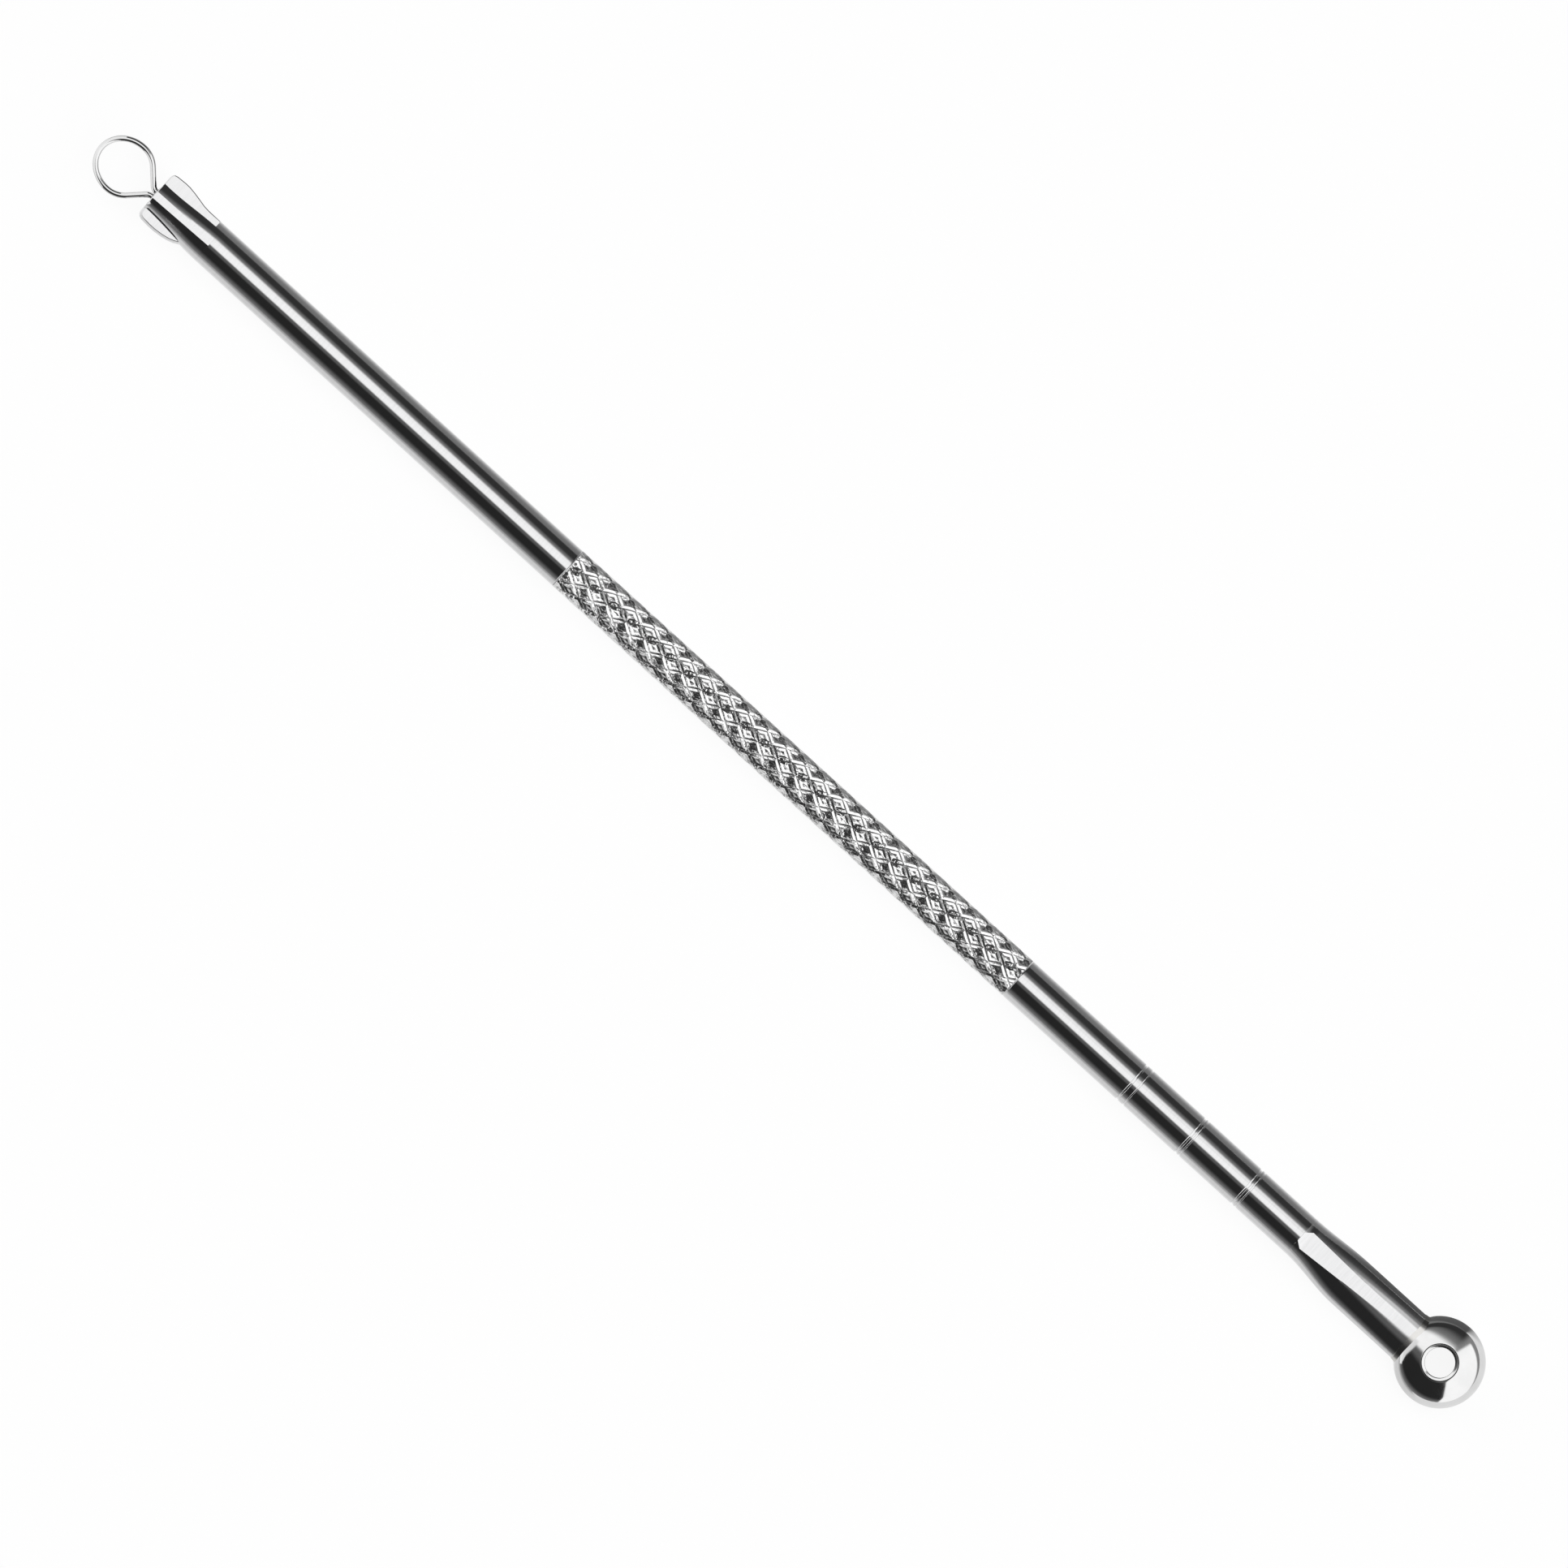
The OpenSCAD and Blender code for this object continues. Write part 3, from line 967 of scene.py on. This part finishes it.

# %% [markdown]
# ## The floor and the studio
#
# Polished steel shows its surroundings, so those matter as much as the steel.
# The tool lies on a white sheet, under a long soft light just beside the
# camera. The camera sees the sheet white everywhere. In the steel it shows
# painted light and shade instead of its own lighting: a ramp across the tool
# that is bright close to it and falls away into the dark room on both sides,
# sooner on the far side, and fades to plain white beyond the cup. A painted
# shadow lies on the floor under the cup, and another beside the neck on its +Y
# side.

# %% Floor
def glowing(name, grey):
    """A matt white light of that grey, and its nodes, links and shader."""
    material, nodes, links, shader = new_material(name)
    shader.inputs["Base Color"].default_value = (grey, grey, grey, 1)
    shader.inputs["Roughness"].default_value = 0.9
    shader.inputs["Specular IOR Level"].default_value = 0.0
    shader.inputs["Emission Color"].default_value = (1, 1, 1, 1)
    return material, nodes, links, shader


glow_width = 60 * mm
open_x = (56.5 * mm, 60 * mm)
open_light = 0.8
shade_light = 0.08
# Place and strength of a painted shadow on the floor beside the neck, seen only in the steel.
strip_y = (1.6 * mm, 2.2 * mm)
strip_start = (46 * mm, 51 * mm)
strip_end = (57.1 * mm, 57.9 * mm)
neck_shadow_strength = 0.92
floor_white = 0.9
# Painted light: how bright the floor looks in the steel, by distance in mm across the tool's axis.
glow = [
    (-29, 0.3), (-25, 0.3), (-12.7, 0.48), (-8.5, 0.66), (-3.7, 0.68), (-2.1, 0.88), (0, 0.92),
    (2.1, 0.82), (2.3, 0.76), (3.0, 0.48), (3.9, 0.32), (4.9, 0.22), (6.5, 0.14), (15, 0.1),
]
floor = begin("floor")
bpy.ops.mesh.primitive_plane_add(size=20)
rest()
sheet, nodes, links, shader = glowing("floor_sheet", 0.15)
place, axes = object_place(nodes, links)
across = maths(nodes, links, "MULTIPLY_ADD", axes["Y"], 1 / glow_width)
across.node.inputs[2].default_value = 0.5
lit = grey_ramp(nodes, links, across, [(y * mm / glow_width + 0.5, level) for y, level in glow])
open_end = fade(nodes, links, axes["X"], *open_x)
spread = nodes.new("ShaderNodeMix")
links.new(open_end, spread.inputs["Factor"])
links.new(lit, spread.inputs["A"])
spread.inputs["B"].default_value = open_light
# Painted shadow: in reflections the floor under the cup is dimmed to shade_light.
from_cup = nodes.new("ShaderNodeVectorMath")
from_cup.operation = "DISTANCE"
links.new(place, from_cup.inputs[0])
from_cup.inputs[1].default_value = (cup_x, 0, 0)
painted_cup_shadow = fade(nodes, links, from_cup.outputs["Value"], cup_r - cup_wall, cup_r)
painted_cup_shadow = maths(nodes, links, "ADD", painted_cup_shadow, shade_light, True)
shaded = maths(nodes, links, "MULTIPLY", spread.outputs["Result"], painted_cup_shadow)
# Painted shadow: in reflections the floor along the +Y side of the neck and cup is darkened.
painted_neck_shadow = fade(nodes, links, axes["Y"], *strip_y)
painted_neck_shadow = maths(nodes, links, "MULTIPLY", painted_neck_shadow, fade(nodes, links, axes["X"], *strip_start))
past_cup = fade(nodes, links, axes["X"], *strip_end)
painted_neck_shadow = maths(nodes, links, "MULTIPLY", painted_neck_shadow, maths(nodes, links, "SUBTRACT", 1.0, past_cup))
painted_neck_shadow = maths(nodes, links, "MULTIPLY", painted_neck_shadow, neck_shadow_strength)
shaded = maths(nodes, links, "MULTIPLY", shaded, maths(nodes, links, "SUBTRACT", 1.0, painted_neck_shadow))
rays = nodes.new("ShaderNodeLightPath")
seen = rays.outputs["Is Camera Ray"]
seen = maths(nodes, links, "ADD", seen, rays.outputs["Is Transmission Ray"], True)
seen = maths(nodes, links, "MULTIPLY", seen, floor_white)
# Glossy rays see the floor's painted light and shade, not its own lighting.
mirrored = maths(nodes, links, "MULTIPLY", rays.outputs["Is Glossy Ray"], shaded)
links.new(maths(nodes, links, "ADD", seen, mirrored), shader.inputs["Emission Strength"])
floor.data.materials.append(sheet)
print("stops in the floor's glow:", len(glow))

# %% [markdown]
# A white card stands close behind the loop. It is a real sheet, because the
# near loop sees it high up and the far cup sees it low down. It only shows in
# the polished steel.

# %% White card behind the loop
card_x = -75 * mm
card_edge_y = 25 * mm
card_wide = 155 * mm
card_high = 50 * mm
card_middle = (card_x, card_edge_y - card_wide / 2, card_high / 2)
board = begin("white_card")
bpy.ops.mesh.primitive_plane_add(size=1, location=card_middle, rotation=(0, math.pi / 2, 0))
bpy.ops.transform.resize(value=(1, card_wide, card_high), center_override=card_middle)
rest()
board.visible_camera = False
board.visible_diffuse = False
board.visible_shadow = False
paper, nodes, links, shader = glowing("white_paper", 0.1)
shader.inputs["Emission Strength"].default_value = 1.0
board.data.materials.append(paper)
print("card:", card_wide / mm, "by", card_high / mm, "mm")

# %% [markdown]
# The room is drawn into the world as a ramp of greys round the tool's axis:
# the soft light overhead, its dim edge, the dark on both sides. A ramp's colours
# end at 1, so its levels are divided by the strength of the sky. A grey card
# beyond the cup, lighter higher up, and a low one far behind the loop are parts
# of the sky between two limits.

# %% Studio room
sky_strength = 2.0
room = [
    (-180, 0.15), (-94, 0.15), (-83, 0.036), (-58, 0.036), (-54, 0.056), (-50, 0.11),
    (-45, 0.17), (-40, 0.22), (-36, 0.4), (-32, 0.85), (-28, 1.15), (-4, 1.17),
    (3.5, 1.12), (6, 0.5), (8.5, 0.2), (11, 0.12), (18, 0.112), (22, 0.06), (26, 0.023),
    (60, 0.023), (68, 0.066), (74, 0.113), (84, 0.184), (90, 0.25), (180, 0.25),
]
world = bpy.data.worlds.new("studio")
bpy.context.scene.world = world
world.use_nodes = True
nodes = world.node_tree.nodes
links = world.node_tree.links
sky = nodes["Background"]
look = nodes.new("ShaderNodeTexCoord")
parts = nodes.new("ShaderNodeSeparateXYZ")
links.new(look.outputs["Generated"], parts.inputs["Vector"])
minus_y = maths(nodes, links, "MULTIPLY", parts.outputs["Y"], -1.0)
turn = maths(nodes, links, "ARCTAN2", minus_y, parts.outputs["Z"])
share = maths(nodes, links, "ADD", maths(nodes, links, "DIVIDE", turn, 2 * math.pi), 0.5)
bands = grey_ramp(nodes, links, share, [(a / 360 + 0.5, level / sky_strength) for a, level in room])


def beyond(plane, soft):
    """1 where the direction lies on the plane's side, 0 on the other, with a soft edge."""
    total = maths(nodes, links, "MULTIPLY", parts.outputs["X"], plane[0])
    for name, factor in (("Y", plane[1]), ("Z", plane[2])):
        total = maths(
            nodes, links, "ADD", total, maths(nodes, links, "MULTIPLY", parts.outputs[name], factor)
        )
    return fade(nodes, links, total, -soft, soft)


def both(first, second):
    """Where both masks are 1."""
    return maths(nodes, links, "MULTIPLY", first, second)


cup_card = both(beyond((0.74, 0.633, -0.224), 0.02), beyond((0.993, -0.114, -0.027), 0.1))
high = both(beyond((0, -0.5, 1.0), 0.1), beyond((0.95, -0.3, 0), 0.04))
minus_x = maths(nodes, links, "MULTIPLY", parts.outputs["X"], -1.0)
low_card = both(fade(nodes, links, minus_x, 0.7, 0.74), fade(nodes, links, minus_y, -0.08, 0.02))


def lay_over(below, mask, level):
    """Mix a plain grey over a colour."""
    node = nodes.new("ShaderNodeMix")
    node.data_type = "RGBA"
    links.new(mask, node.inputs["Factor"])
    links.new(below, node.inputs["A"])
    node.inputs["B"].default_value = (level, level, level, 1)
    return node.outputs["Result"]


backed = lay_over(bands, cup_card, 0.14)
backed = lay_over(backed, both(cup_card, high), 0.6)
backed = lay_over(backed, low_card, 0.44)
links.new(backed, sky.inputs["Color"])
sky.inputs["Strength"].default_value = sky_strength
print("stops in the room's ramp:", len(room))

# %% [markdown]
# ## The camera
#
# The photograph is taken from straight above, with the tool turned 42 degrees
# in the frame, so the camera is rolled rather than the tool. A very long lens
# from far away gives the same flat view without perspective.

# %% Camera
roll = math.radians(42.316)
frame_width = 101.7 * mm
lens = 1000
sensor = 36
middle = (0.5176 * mm, -0.8903 * mm)
distance = frame_width * lens / sensor
bpy.ops.object.camera_add(
    location=(middle[0], middle[1], axis_z + distance),
    rotation=(0, 0, roll),
)
camera = bpy.context.object
camera.name = "camera"
camera.data.lens = lens
camera.data.clip_start = 0.01
camera.data.clip_end = 100
scene = bpy.context.scene
scene.camera = camera
scene.view_settings.view_transform = "Standard"
